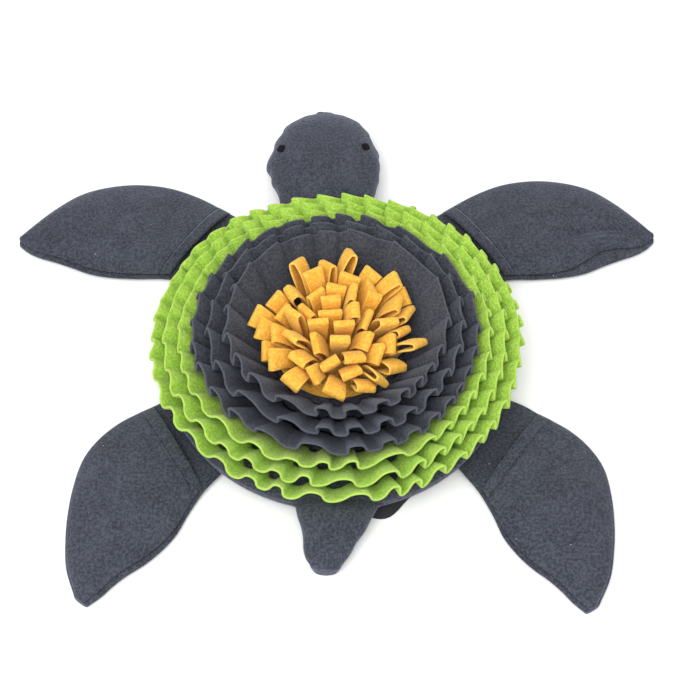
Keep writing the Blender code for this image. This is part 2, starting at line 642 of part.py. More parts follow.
def main():
    clear_scene()
    make_pad()
    for ruffle in RUFFLES:
        make_ruffle(ruffle)
    make_tuft()
    for flipper in FLIPPERS:
        make_flipper(flipper)
    head = stuffed_solid("head", HEAD, "grey_fleece")
    clear_of_pad(head)
    bpy.context.view_layer.update()
    for eye in EYES:
        make_eye(eye, head)
    clear_of_pad(stuffed_solid("tail", TAIL, "grey_fleece"))


main()
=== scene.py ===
import math
from collections import namedtuple

import bmesh
import bpy
import numpy as np
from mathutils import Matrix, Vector
from mathutils.kdtree import KDTree


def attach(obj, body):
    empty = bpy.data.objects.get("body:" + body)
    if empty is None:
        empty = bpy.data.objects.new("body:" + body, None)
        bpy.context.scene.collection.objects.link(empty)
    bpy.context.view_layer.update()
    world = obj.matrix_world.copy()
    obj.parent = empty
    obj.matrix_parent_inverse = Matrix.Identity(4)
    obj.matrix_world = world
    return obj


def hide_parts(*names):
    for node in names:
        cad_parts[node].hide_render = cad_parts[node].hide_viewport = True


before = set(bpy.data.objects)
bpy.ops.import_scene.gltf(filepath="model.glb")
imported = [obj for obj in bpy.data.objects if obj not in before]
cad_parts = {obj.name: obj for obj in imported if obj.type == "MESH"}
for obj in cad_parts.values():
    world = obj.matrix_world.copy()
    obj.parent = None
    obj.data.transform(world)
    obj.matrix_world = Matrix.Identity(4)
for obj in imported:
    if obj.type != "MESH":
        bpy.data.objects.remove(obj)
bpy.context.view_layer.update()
TAU = 2 * math.pi

# ---------------------------------------------------------------- camera
# The mat lies flat and is seen from the tail's side, from 55 degrees above the floor.

PICTURE_WIDTH = 680
FOCAL_PIXELS = 1474
SENSOR_WIDTH = 36
CAMERA_RISE = math.radians(55)
CAMERA_DISTANCE = 1.4
CAMERA_AIM = Vector((0.003, 0.030, 0.0))

lens = bpy.data.cameras.new("camera")
lens.sensor_width = SENSOR_WIDTH
lens.lens = FOCAL_PIXELS / PICTURE_WIDTH * SENSOR_WIDTH
camera = bpy.data.objects.new("camera", lens)
camera.location = CAMERA_AIM + CAMERA_DISTANCE * Vector((0, -math.cos(CAMERA_RISE), math.sin(CAMERA_RISE)))
camera.rotation_euler = (math.pi / 2 - CAMERA_RISE, 0, 0)
bpy.context.scene.collection.objects.link(camera)
bpy.context.scene.camera = camera

# ---------------------------------------------------------------- bottom cloth
# The round of black woven cloth that closes the mat from below. It is cut a little larger than the
# pad's base but smaller than its rim, so its edge shows as a dark line from low down. Beside the
# tail it bulges out past the rim.

BOTTOM_CLOTH = 0.0015
BOTTOM_CLOTH_RADIUS = 0.1525
BULGE_AT = math.radians(285)  # where the cloth stands out most
BULGE_SPREAD = 0.13  # radians
BULGE = 0.0145
EDGE_WAVE = 0.0008
EDGE_POINTS = 240
BLACK_CLOTH = (0.010, 0.010, 0.012)
YARN = 0.0006
YARN_DEPTH = 0.0002


class Shade:
    """An output of a material's nodes. Arithmetic on it adds Math nodes."""

    def __init__(self, tree, socket=None):
        self.tree = tree
        self.socket = socket

    def node(self, kind, settings, sockets, output=0):
        """A node of any type. Its settings are set first, then the values or links of its sockets,
        which are named, or numbered where two have one name."""
        made = self.tree.nodes.new(kind)
        for name, value in settings.items():
            setattr(made, name, value)
        for name, value in sockets.items():
            if isinstance(value, Shade):
                self.tree.links.new(value.socket, made.inputs[name])
            else:
                made.inputs[name].default_value = value
        return Shade(self.tree, made.outputs[output])

    def math(self, operation, *values):
        return self.node("ShaderNodeMath", {"operation": operation}, dict(enumerate(values)))

    def __add__(self, other):
        return self.math("ADD", self, other)

    __radd__ = __add__

    def __sub__(self, other):
        return self.math("SUBTRACT", self, other)

    def __rsub__(self, other):
        return self.math("SUBTRACT", other, self)

    def __mul__(self, other):
        return self.math("MULTIPLY", self, other)

    __rmul__ = __mul__

    def ramp(self, low, high):
        """0 up to low, 1 from high, and a smooth step between."""
        sockets = {"Value": self, "From Min": low, "From Max": high}
        return self.node("ShaderNodeMapRange", {"interpolation_type": "SMOOTHSTEP"}, sockets)

    def noise(self, size, detail=2.0, roughness=0.5):
        """Noise with features of a size in metres, from 0 to 1. self is the place that it reads."""
        sockets = {"Vector": self, "Scale": 1 / size, "Detail": detail, "Roughness": roughness}
        return self.node("ShaderNodeTexNoise", {}, sockets)

    def mix(self, low, high):
        """From one colour to another as self goes from 0 to 1."""
        colours = [c if isinstance(c, Shade) else (*c, 1) for c in (low, high)]
        sockets = {0: self, 6: colours[0], 7: colours[1]}
        return self.node("ShaderNodeMix", {"data_type": "RGBA"}, sockets, 2)


def bare_material(name, roughness, sheen=0.0):
    """A material, its Principled BSDF and the object's own coordinates."""
    made = bpy.data.materials.new(name)
    made.use_nodes = True
    surface = made.node_tree.nodes["Principled BSDF"]
    surface.inputs["Roughness"].default_value = roughness
    surface.inputs["Sheen Weight"].default_value = sheen
    place = Shade(made.node_tree).node("ShaderNodeTexCoord", {}, {}, "Object")
    return made, surface, place


def finish_material(surface, colour, height, depth):
    """Puts a colour and a relief, from 0 to 1 over a depth in metres, on a Principled BSDF."""
    tree = colour.tree
    tree.links.new(colour.socket, surface.inputs["Base Color"])
    bump = height.node("ShaderNodeBump", {}, {"Height": height, "Distance": depth, "Strength": 1.0})
    tree.links.new(bump.socket, surface.inputs["Normal"])


def woven(name, colour):
    """Plain weave: two sets of waves along X and Y, each over and under the other."""
    made, surface, place = bare_material(name, 0.85, 0.1)
    axes = [place.node("ShaderNodeSeparateXYZ", {}, {0: place}, axis) for axis in ("X", "Y")]
    waves = [(axis * (math.pi / YARN)).math("SINE", axis * (math.pi / YARN)) for axis in axes]
    over = waves[0] * waves[1] * 0.5 + 0.5
    shade = over * 0.6 + place.noise(0.004) * 0.4
    pale = tuple(2.2 * c for c in colour)
    finish_material(surface, shade.mix(colour, pale), over, YARN_DEPTH)
    return made


def closed_mesh(name, points, material, ring=False, **marks):
    """Closed skins from a grid of points (skins, stations, places round a section, xyz). Sections are
    closed loops, and a skin's stations meet in a ring or its first and last section are filled.
    marks are kept with each point for the material: edge is 1 on a cut edge, stitch on a seam."""
    skins, stations, around = points.shape[:3]
    index = np.arange(skins * stations * around).reshape(skins, stations, around)
    here = index if ring else index[:, :-1]
    there = np.roll(index, -1, axis=1) if ring else index[:, 1:]
    faces = np.stack([here, np.roll(here, -1, axis=2), np.roll(there, -1, axis=2), there], axis=-1)
    faces = faces.reshape(-1, 4).tolist()
    if not ring:
        faces += index[:, 0, ::-1].tolist() + index[:, -1].tolist()
    mesh = bpy.data.meshes.new(name)
    mesh.from_pydata(points.reshape(-1, 3).tolist(), [], faces)
    for mark, share in marks.items():
        values = np.broadcast_to(share, points.shape[:3]).astype(np.float32).ravel()
        mesh.attributes.new(mark, "FLOAT", "POINT").data.foreach_set("value", values)
    work = bmesh.new()
    work.from_mesh(mesh)
    bmesh.ops.recalc_face_normals(work, faces=work.faces)
    work.to_mesh(mesh)
    work.free()
    mesh.shade_smooth()
    mesh.materials.append(material)
    obj = bpy.data.objects.new(name, mesh)
    bpy.context.scene.collection.objects.link(obj)
    return obj


def bell(x, middle, width):
    """A bump that is 1 at its middle and fades away to both sides over a width."""
    return np.exp(-(((x - middle) / width) ** 2))


def bottom_cloth_edge(angle):
    """Radius of the cloth: even, with a slow wave and a bulge beside the tail."""
    wave = EDGE_WAVE * np.sin(3 * angle + 0.8)
    return BOTTOM_CLOTH_RADIUS + wave + BULGE * bell(angle, BULGE_AT, BULGE_SPREAD)


def flat_round(edge, profile):
    """Stations of a flat round, from its middle above to its middle below. profile gives each
    station's share of the edge's radius and its height."""
    angle = np.arange(len(edge)) / len(edge) * TAU
    share, height = np.array(profile).T[:, :, None]
    radius = share * edge
    return np.stack([radius * np.cos(angle), radius * np.sin(angle), height + 0 * angle], axis=-1)[None]


profile = [(0.01, BOTTOM_CLOTH), (0.9, BOTTOM_CLOTH), (0.998, BOTTOM_CLOTH), (1.0, BOTTOM_CLOTH / 2)]
profile += [(0.998, 0.0), (0.9, 0.0), (0.01, 0.0)]
edge = bottom_cloth_edge(np.arange(EDGE_POINTS) / EDGE_POINTS * TAU)
bottom_cloth = closed_mesh("bottom_cloth_sheet", flat_round(edge, profile), woven("black_weave", BLACK_CLOTH))
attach(bottom_cloth, "root")
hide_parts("bottom_cloth")

# ---------------------------------------------------------------- shell pad
# The round body: grey fleece over polyester filling, with a side seam half way up its rim. The
# ruffles are sewn on top of it, and its rim shows below them.

PAD_RADIUS = 0.160
PAD_BASE = 0.0020
PAD_TOP = 0.0310
RIM_POWER = 3.2
RIM_MIDDLE = 0.0155
SEAM_GAP = 0.0004
# GREY is the colour between the nap's clumps, partly painted shade in the hollows, and GREY_PALE the colour
# on them.
GREY = (0.016, 0.019, 0.030)
GREY_PALE = (0.066, 0.073, 0.095)
LINT = (0.62, 0.63, 0.66)
STITCH = 0.0032
SHEEN_ROUGHNESS = 0.35
SHEEN_TINT = 5  # times the pale colour
NAP_DEPTH = 0.0014
MOTTLE = 0.022
LINT_CELL = 0.011  # each holds one speck at most
RIM_INSIDE = 0.15  # the pad's side is all that lies farther out than this
RIM_PUCKER = 0.0007
RIM_PUCKERS = 76
RIM_PUCKER_HEIGHT = 0.006
RIM_GROOVE = 0.0009
RIM_GROOVE_WIDTH = 0.0012


def fleece(name, deep, pale, cut, sheen=0.35, nap=0.0023, lint=0.0):
    """Brushed fleece: a nap of small clumps, deep colour between them and pale on them, partly the
    fleece's own tone and partly painted shade, a slow mottle, cut edges that are paler partly by
    their own colour and partly by a painted highlight, painted shade in the holes along stitches,
    and specks of lint in some cells of a Voronoi pattern."""
    made, surface, place = bare_material(name, 0.95, sheen)
    surface.inputs["Sheen Roughness"].default_value = SHEEN_ROUGHNESS
    surface.inputs["Sheen Tint"].default_value = (*[min(1, SHEEN_TINT * c) for c in pale], 1)
    clumps = place.noise(nap, 3.0, 0.6)
    fuzz = place.noise(nap / 3.2, 1.0)
    mottle = place.noise(MOTTLE, 2.0)
    # Pale on the nap's clumps and deep between them: partly the fleece's own tone, partly painted shade in
    # the hollows. The mottle is the fleece's own uneven tone.
    light = clumps.ramp(0.36, 0.66) * 0.75 + mottle.ramp(0.25, 0.75) * 0.25
    colour = light.mix(deep, pale)
    marks = ("edge", "stitch")
    edge, stitch = [place.node("ShaderNodeAttribute", {"attribute_name": m}, {}, "Fac") for m in marks]
    # Cut edges: partly their own paler colour, partly a painted highlight.
    colour = (edge * (0.5 + 0.5 * clumps)).mix(colour, cut)
    # Painted shade in the holes along the stitches.
    stitch_hole_shade = stitch * (1 - place.noise(STITCH).ramp(0.45, 0.60))
    colour = stitch_hole_shade.mix(colour, tuple(0.3 * c for c in deep))
    if lint:
        cells = {"Vector": place, "Scale": 1 / LINT_CELL}
        speck = place.node("ShaderNodeTexVoronoi", {}, cells, "Distance")
        pick = place.node("ShaderNodeTexVoronoi", {}, cells, "Color")
        chosen = pick.math("LESS_THAN", pick, lint)
        colour = ((1 - speck.ramp(0.025, 0.045)) * chosen).mix(colour, LINT)
    finish_material(surface, colour, clumps * 0.8 + fuzz * 0.2 - stitch * 0.8, NAP_DEPTH)
    return made


def smoothstep(x):
    x = np.clip(x, 0, 1)
    return x * x * (3 - 2 * x)


def uneven(x, y, size, seed):
    """Slow unevenness from about -1 to 1: the mean of seven plane waves of random direction and
    phase, with lengths from 0.7 to 1.6 times size."""
    chance = np.random.default_rng(seed)
    way, phase = chance.uniform(0, TAU, (2, 7))
    length = size * chance.uniform(0.7, 1.6, 7)
    place = np.asarray(x)[..., None] * np.cos(way) + np.asarray(y)[..., None] * np.sin(way)
    return np.sin(TAU * place / length + phase).mean(axis=-1) * 1.9


def pad_top(radius):
    """Height of the pad's upper face: a rounded square edge, as a superellipse."""
    share = np.clip(radius / PAD_RADIUS, 0, 1) ** RIM_POWER
    return RIM_MIDDLE + (PAD_TOP - RIM_MIDDLE) * (1 - share) ** (1 / RIM_POWER)


def rim_radius(height):
    """Radius of the pad's side at a height: the same superellipse above its middle, and below it
    a line that is drawn in to the bottom cloth."""
    rise = np.clip((height - RIM_MIDDLE) / (PAD_TOP - RIM_MIDDLE), 0, 1)
    above = PAD_RADIUS * (1 - rise**RIM_POWER) ** (1 / RIM_POWER)
    below = np.interp(height, [PAD_BASE, 0.0070, RIM_MIDDLE], [0.1500, 0.1575, PAD_RADIUS])
    return np.where(height > RIM_MIDDLE, np.where(height < PAD_TOP, above, 0), np.where(height < 0, 0, below))


def pad_surface(stations, around):
    """The pad from the middle of its upper face over the rim to the middle of its lower face, with
    puckers that fade away from the rim's seam."""
    turn = np.linspace(0, 1, stations)[:, None]
    angle = np.arange(around) / around * TAU
    radii = PAD_RADIUS * np.sin(turn * math.pi / 2) ** 0.8
    upper = np.stack([radii, pad_top(radii)], axis=-1)
    low = np.linspace(RIM_MIDDLE, PAD_BASE, 8)[1:, None]
    side = np.stack([rim_radius(low), low], axis=-1)
    under = np.stack([np.linspace(0.147, 0.001, 8)[:, None], np.full((8, 1), PAD_BASE)], axis=-1)
    radius, height = np.moveaxis(np.concatenate([upper, side, under]), -1, 0)
    on_side = radius > RIM_INSIDE
    near_seam = bell(height, RIM_MIDDLE, RIM_PUCKER_HEIGHT) * on_side
    pucker = RIM_PUCKER * np.sin(angle * RIM_PUCKERS + 2 * np.sin(angle * 5)) * near_seam
    groove = RIM_GROOVE * bell(height, RIM_MIDDLE, RIM_GROOVE_WIDTH) * on_side
    radius = np.maximum(radius - np.abs(pucker) - groove, 0.001)
    return np.stack([radius * np.cos(angle), radius * np.sin(angle), height + 0 * angle], axis=-1)[None]


grey_fleece = fleece("grey_nap", GREY, GREY_PALE, GREY_PALE, sheen=0.7, lint=0.35)
shell_pad = closed_mesh("shell_cushion", pad_surface(40, 456), grey_fleece)
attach(shell_pad, "root")
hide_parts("shell_pad")

# ---------------------------------------------------------------- ruffles
# Six strips of fleece, each gathered in pleats and sewn by one edge to the pad in a ring: three lime
# green outside and three taller dark grey inside. The green pleats lie over each other like tiles,
# the grey ones are larger folds, and the cut edges are paler than the faces, partly by their own
# colour and partly by a painted highlight.

FLEECE = 0.0022
# The deep colours lie between the nap's clumps and are partly painted shade. The cut colours are partly the
# cut edge's own colour and partly a painted highlight.
GREEN = (0.260, 0.480, 0.035)
GREEN_PALE = (0.480, 0.720, 0.110)
GREEN_CUT_SHEEN = (0.390, 0.570, 0.095)
CHARCOAL = (0.026, 0.028, 0.038)
CHARCOAL_PALE = (0.070, 0.076, 0.096)
CHARCOAL_CUT_SHEEN = (0.078, 0.084, 0.105)
Pleating = namedtuple("Pleating", "slot bulge root_depth root_lap even_lap points")
# bulge: how far a pleat's round overhangs its neck. root_depth, root_lap: share of a pleat's depth and
# lap that is left at the sewn edge. even_lap: share of the lap that is the same all round.
# points: in each pleat, that the fold's curve is drawn from.
GREY_PLEATS = Pleating("charcoal_fleece", 0.0040, 0.40, 0.00, 0.0, 6)
GREEN_PLEATS = Pleating("green_fleece", 0.0016, 0.75, 0.75, 0.5, 4)
Ruffle = namedtuple(
    "Ruffle", "name pleating root_radius tip_radius tip_height pleats depth lap slump outward length"
)
# depth: how far a pleat swings to either side of the strip's own line at its free edge. lap: how far
# pleats lie over their neighbours. slump: how far the free edge has sunk to SLUMP_ANGLE.
# outward: how much farther a pleat swings out than in.
# length: of the strip before it is gathered, which is that of its folded line half way up.
RUFFLES = (
    Ruffle("grey_ruffle_1", GREY_PLEATS, 0.0645, 0.0995, 0.0770, 21, 0.0052, 0.0052, 0.000, 1.0, 0.73),
    Ruffle("grey_ruffle_2", GREY_PLEATS, 0.0790, 0.1145, 0.0725, 24, 0.0053, 0.0052, 0.0013, 1.0, 0.83),
    Ruffle("grey_ruffle_3", GREY_PLEATS, 0.0940, 0.1285, 0.0670, 28, 0.0049, 0.0048, 0.003, 1.0, 0.96),
    Ruffle("green_ruffle_1", GREEN_PLEATS, 0.1105, 0.1405, 0.0605, 38, 0.0044, 0.0075, 0.003, 1.0, 1.14),
    Ruffle("green_ruffle_2", GREEN_PLEATS, 0.1265, 0.1545, 0.0560, 42, 0.0048, 0.0080, 0.002, 1.0, 1.31),
    Ruffle("green_ruffle_3", GREEN_PLEATS, 0.1425, 0.1660, 0.0505, 44, 0.0028, 0.0076, 0.000, 2.8, 1.41),
)
Stretch = namedtuple("Stretch", "ruffle at spread wider")
# Stretches of a strip with wider or narrower pleats. at, spread: degrees. wider: 1 for twice as wide.
STRETCHES = (
    Stretch("grey_ruffle_1", 20, 24, 1.3),
    Stretch("grey_ruffle_1", 100, 30, 0.3),
    Stretch("grey_ruffle_1", 215, 14, 0.4),
    Stretch("grey_ruffle_1", 310, 35, -0.3),
    Stretch("grey_ruffle_2", 215, 24, 0.4),
    Stretch("grey_ruffle_2", 318, 40, -0.2),
    Stretch("grey_ruffle_3", 238, 20, 0.7),
    Stretch("grey_ruffle_3", 25, 22, 1.0),
    Stretch("grey_ruffle_3", 320, 30, -0.3),
    Stretch("green_ruffle_1", 245, 22, 0.7),
    Stretch("green_ruffle_1", 290, 8, 1.0),
    Stretch("green_ruffle_2", 228, 24, 0.6),
    Stretch("green_ruffle_2", 275, 6, 1.3),
    Stretch("green_ruffle_3", 238, 24, 0.5),
    Stretch("green_ruffle_3", 271, 5, 1.2),
)
ROOT_LIFT = 0.0018  # the middle of the strip's sewn edge stands this far off the pad
UNEVEN_PITCH = 0.20  # pleats are this much wider or narrower than the mean
LEAST_DEPTH = 0.66  # share of the depth that the shallowest pleats have
UNEVEN_RISE = 0.0050  # the free edge of some rounds stands this much higher than of others
CORNER_RISE = 0.0022  # lift of the corner of a pleat that lies over its neighbour
NARROW = 0.0030  # how far a pleat's sides are drawn towards its outer round, on the head's side
LEAN_OUT = 0.0006  # the free edge leans this much in or out from round to round
LAP_ANGLE = math.radians(20)
SLUMP_ANGLE = math.radians(243)
RUFFLE_ROWS = 9
EDGE_STEPS = 5
CURVE_STEPS = {6: 4, 4: 6}  # of a fold's curve, from one of its points to the next


def pleat_angle(phase, ruffle):
    """Angle round the mat of a phase along the strip, with pleats of uneven width."""
    even = (np.arange(ruffle.pleats) + 0.5) / ruffle.pleats * 360
    widths = 1 + UNEVEN_PITCH * np.random.default_rng(ruffle.pleats).uniform(-1, 1, ruffle.pleats)
    for stretch in STRETCHES:
        if stretch.ruffle == ruffle.name:
            away = (even - stretch.at + 180) % 360 - 180
            widths *= 1 + stretch.wider * bell(away, 0, stretch.spread)
    edges = np.concatenate([[0], np.cumsum(widths)]) / widths.sum() * TAU
    return np.interp(phase / TAU, np.arange(ruffle.pleats + 1), edges)


def pleat_share(phase, ruffle, seed):
    """A random share from 0 to 1 for each round of the strip, blended between rounds."""
    rounds = 2 * ruffle.pleats
    shares = np.random.default_rng(rounds + seed).uniform(0, 1, rounds)
    place = phase / math.pi
    before = np.floor(place).astype(int)
    blend = smoothstep(place - before)
    return shares[before % rounds] * (1 - blend) + shares[(before + 1) % rounds] * blend


def ruffle_line(ruffle, phase, up, reach):
    """The middle of a ruffled strip, at phases along it and a share of the way up it.
    Along the strip a pleat swings out of line with the cosine of its phase, and along the line
    with the sine of twice that, which gives each pleat a round head and a narrow neck. A share of
    the cosine along the line as well lays the pleats over each other like tiles."""
    pleating = ruffle.pleating
    angle = pleat_angle(phase, ruffle)
    droop = 0.0014 * np.sin(2 * angle + 0.6) + 0.0012 * np.sin(5 * angle + 1.9)
    droop = droop + UNEVEN_RISE * (pleat_share(phase, ruffle, 3) - 0.5)
    slump = ruffle.slump * np.cos(angle - SLUMP_ANGLE) + 0.0008 * np.sin(4 * angle)
    slump = slump + LEAN_OUT * (2 * pleat_share(phase, ruffle, 5) - 1)
    tip_radius, tip_height = ruffle.tip_radius + slump, ruffle.tip_height + droop
    root_height = pad_top(ruffle.root_radius) + ROOT_LIFT
    lean = np.arctan2(tip_height - root_height, tip_radius - ruffle.root_radius)
    depth_share = pleating.root_depth + (1 - pleating.root_depth) * up
    lap_share = pleating.root_lap + (1 - pleating.root_lap) * up
    depth = ruffle.depth * (LEAST_DEPTH + (1 - LEAST_DEPTH) * pleat_share(phase, ruffle, 1))
    swing = reach * depth * depth_share * np.cos(phase)
    swing = swing * np.where(swing > 0, ruffle.outward, 1)
    lap = ruffle.lap * (pleating.even_lap + (1 - pleating.even_lap) * np.cos(angle - LAP_ANGLE))
    narrow = NARROW * smoothstep(0.5 + np.sin(angle))
    along = depth_share * pleating.bulge * np.sin(2 * phase) - lap_share * lap * np.cos(phase)
    along = along - depth_share * narrow * np.sin(phase)
    side = np.clip(2.5 * lap / ruffle.lap, -1, 1)
    rise = -CORNER_RISE * (np.cos(phase) + side * np.sin(phase)) * up
    # The swing is level at the sewn edge and square to the strip at the free edge.
    out = swing * ((1 - up) + up * np.sin(lean)) + rise * np.cos(lean)
    radius = ruffle.root_radius + (tip_radius - ruffle.root_radius) * up + out
    height = root_height + (tip_height - root_height) * up - swing * up * np.cos(lean) + rise * np.sin(lean)
    turn = angle + along / radius
    return np.stack([radius * np.cos(turn), radius * np.sin(turn), height], axis=-1)


def rounded_line(corners, steps):
    """A closed quadratic B-spline along axis 1 of a grid of corners, which rounds each of them."""
    t = (np.arange(steps) / steps)[:, None]
    before, after = np.roll(corners, 1, axis=1)[:, :, None], np.roll(corners, -1, axis=1)[:, :, None]
    line = 0.5 * (1 - t) ** 2 * before + (0.5 + t * (1 - t)) * corners[:, :, None] + 0.5 * t**2 * after
    return line.reshape(len(corners), -1, 3)


def unit(vectors):
    return vectors / np.linalg.norm(vectors, axis=-1, keepdims=True)


def ruffle_cloth(ruffle):
    """The strip's skin: up its outer face, half round its cut edge and down its inner face.
    Also gives 1 on the cut edge."""
    points = ruffle.pleating.points
    phase = (np.arange(ruffle.pleats * points) + 0.5) / points * TAU
    up = np.sin(np.linspace(0, math.pi / 2, RUFFLE_ROWS))[:, None]
    corners = ruffle_line(ruffle, phase[None], up, 1 / math.cos(math.pi / points))
    middle = rounded_line(corners, CURVE_STEPS[points])
    along = np.roll(middle, -1, axis=1) - np.roll(middle, 1, axis=1)
    rise = unit(np.gradient(middle, axis=0))
    normal = unit(np.cross(along, rise))
    half_round = np.linspace(0, math.pi, EDGE_STEPS + 2)
    face = np.arange(RUFFLE_ROWS - 1)
    row = np.concatenate([face, np.full(EDGE_STEPS + 2, RUFFLE_ROWS - 1), face[::-1]])
    side = np.concatenate([np.ones(len(face)), np.cos(half_round), -np.ones(len(face))])[:, None, None]
    lift = np.concatenate([0 * face, np.sin(half_round), 0 * face])[:, None, None]
    skin = middle[row] + FLEECE / 2 * (side * normal[row] + lift * rise[row])
    cut = np.clip(lift[:, 0, 0] * 1.6, 0, 1)
    return np.swapaxes(skin, 0, 1)[None], cut


ruffle_fleeces = {
    "charcoal_fleece": fleece("charcoal_nap", CHARCOAL, CHARCOAL_PALE, CHARCOAL_CUT_SHEEN, lint=0.15),
    "green_fleece": fleece("green_nap", GREEN, GREEN_PALE, GREEN_CUT_SHEEN),
}
for ruffle in RUFFLES:
    skin, cut = ruffle_cloth(ruffle)
    strip = closed_mesh(f"{ruffle.name}_strip", skin, ruffle_fleeces[ruffle.pleating.slot], True, edge=cut)
    rise = ruffle.tip_height - pad_top(ruffle.root_radius)
    height = math.hypot(ruffle.tip_radius - ruffle.root_radius, rise)
    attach(strip, "root")
    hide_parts(ruffle.name)

# ---------------------------------------------------------------- the tuft of loops
# Short strips of golden yellow fleece, each folded into a loop and sewn down by its two ends. They
# fan out from the middle and fill the bowl that the grey ruffles leave.

# The deep colour lies between the nap's clumps and is partly painted shade. The cut colour is partly the cut
# edge's own colour and partly a painted highlight.
YELLOW = (0.760, 0.350, 0.030)
YELLOW_PALE = (0.930, 0.545, 0.080)
YELLOW_CUT_SHEEN = (0.950, 0.600, 0.130)
LOOP_WIDTH = 0.020
LOOP_HEIGHT = 0.053
LOOPS = 54
TUFT_RADIUS = 0.0550
TUFT_BACKING_RADIUS = 0.0565
TUFT_BACKING = 0.0016
LOOP_ROOT = PAD_TOP + SEAM_GAP + TUFT_BACKING - 0.0006
LOOP_CLOTH = 0.0020
LOOP_NECK = 0.0015
LOOP_NECK_WIDTH = 0.50
LOOP_KNEE = 0.80
LOOP_FAN = math.radians(56)
LOOP_PART_X = -0.008
LOOP_PART_Y = 0.018
LOOP_CLEAR = 0.0022
MOST_LEAN = 1.25  # radians
LOOP_TWIST = 0.45
FAR_BELOW = (0.0, 0.0, -1.0)
LOOPS_MEET = 2.2 * LOOP_HEIGHT
SHAKES = 12
TRIES = 60
GOLDEN_ANGLE = math.pi * (3 - math.sqrt(5))
# x, y: of the root. way: direction in which the loop leans. twist: of its width from that
# direction. lean: of its straight part. belly: half its widest opening.
Loop = namedtuple("Loop", "x y way twist lean height width belly")


def loop_surface(loop, round_it, across):
    """The middle of a strip folded into a loop, which stands on its sewn ends and leans over.
    round_it goes from -1 to 1 round the fold, and across from -1 to 1 over the strip's width.
    The loop is a teardrop on edge, carried up an arc that leaves the backing square to it and
    then along a straight line."""
    opening = math.pi * round_it
    rise = loop.height * (0.5 + 0.5 * np.cos(opening)) ** 0.8
    aside = np.sign(round_it) * LOOP_NECK + loop.belly * np.sin(opening) * np.cos(opening / 2) ** 0.6
    along = across * loop.width / 2 * (LOOP_NECK_WIDTH + (1 - LOOP_NECK_WIDTH) * rise / loop.height)
    forward = along * np.cos(loop.twist) - aside * np.sin(loop.twist)
    sideways = along * np.sin(loop.twist) + aside * np.cos(loop.twist)
    knee = LOOP_KNEE * loop.height
    lean = loop.lean * np.minimum(rise / knee, 1)
    straight = np.maximum(rise - knee, 0)
    arc = knee / loop.lean
    over = arc * (1 - np.cos(lean)) + straight * np.sin(lean) + forward * np.cos(lean)
    height = LOOP_ROOT + arc * np.sin(lean) + straight * np.cos(lean) - forward * np.sin(lean)
    x = loop.x + over * np.cos(loop.way) - sideways * np.sin(loop.way)
    y = loop.y + over * np.sin(loop.way) + sideways * np.cos(loop.way)
    return np.stack([x, y, height], axis=-1)


def bowl_radius(height):
    """Room inside the inmost ruffle's folds at a height."""
    ruffle = RUFFLES[0]
    rise = (height - PAD_TOP) / (ruffle.tip_height - PAD_TOP)
    line = ruffle.root_radius + (ruffle.tip_radius - ruffle.root_radius) * rise
    root_depth = ruffle.pleating.root_depth
    folds = 1.3 * ruffle.depth * (root_depth + (1 - root_depth) * rise)
    return line - ruffle.slump * rise - folds - LOOP_CLEAR


def has_room(cloth, tree):
    """Whether a loop's cloth stays inside the bowl and clear of the others'."""
    if (np.hypot(cloth[:, 0], cloth[:, 1]) > bowl_radius(cloth[:, 2])).any():
        return False
    return all(tree.find(point)[2] > LOOP_CLEAR for point in cloth.tolist())


def some_loop(chance, x, y, narrowest):
    """A loop with its root at a place: a random lean, mostly away from the parting, twist and size."""
    from_parting = math.dist((x, y), (LOOP_PART_X, LOOP_PART_Y)) / TUFT_RADIUS
    away = math.atan2(y - LOOP_PART_Y, x - LOOP_PART_X)
    return Loop(
        x=x,
        y=y,
        way=away + chance.normal() * max(0.9 - 0.6 * from_parting, 0.25),
        twist=math.pi / 2 + LOOP_TWIST * chance.normal(),
        lean=np.clip(LOOP_FAN * from_parting + chance.normal() * 0.16, 0.05, MOST_LEAN),
        height=LOOP_HEIGHT * chance.uniform(0.75, 1.05),
        width=LOOP_WIDTH * chance.uniform(narrowest, 1.1),
        belly=chance.uniform(0.0020, 0.0050),
    )


def place_loops():
    """The loops' sewn ends follow a sunflower's spiral, and the loops lean away from a parting near
    the middle. Each in turn tries some leans, twists and sizes, and takes what has room."""
    chance = np.random.default_rng(5)
    fold, width = np.meshgrid(np.linspace(-0.97, 0.97, 45), np.linspace(-1, 1, 9), indexing="ij")
    order = chance.permutation(fold.size)
    fold, width = fold.ravel()[order], width.ravel()[order]
    share = np.sqrt((np.arange(LOOPS) + 0.5) / LOOPS) * TUFT_RADIUS
    azimuth = np.arange(LOOPS) * GOLDEN_ANGLE
    roots = np.stack([share * np.cos(azimuth), share * np.sin(azimuth)], axis=-1).tolist()
    loops, cloths = {}, {}
    for _ in range(SHAKES):
        for k, root in enumerate(roots):
            others = [cloths[j] for j in cloths if 0 < math.dist(roots[j], root) < LOOPS_MEET]
            near = np.concatenate([[FAR_BELOW], *others])
            tree = KDTree(len(near))
            for i, point in enumerate(near.tolist()):
                tree.insert(point, i)
            tree.balance()
            for _ in range(TRIES):
                loop = some_loop(chance, *root, 0.85 if k in loops else 0.65)
                cloth = loop_surface(loop, fold, width)
                if has_room(cloth, tree):
                    loops[k], cloths[k] = loop, cloth
                    break
    return list(loops.values())


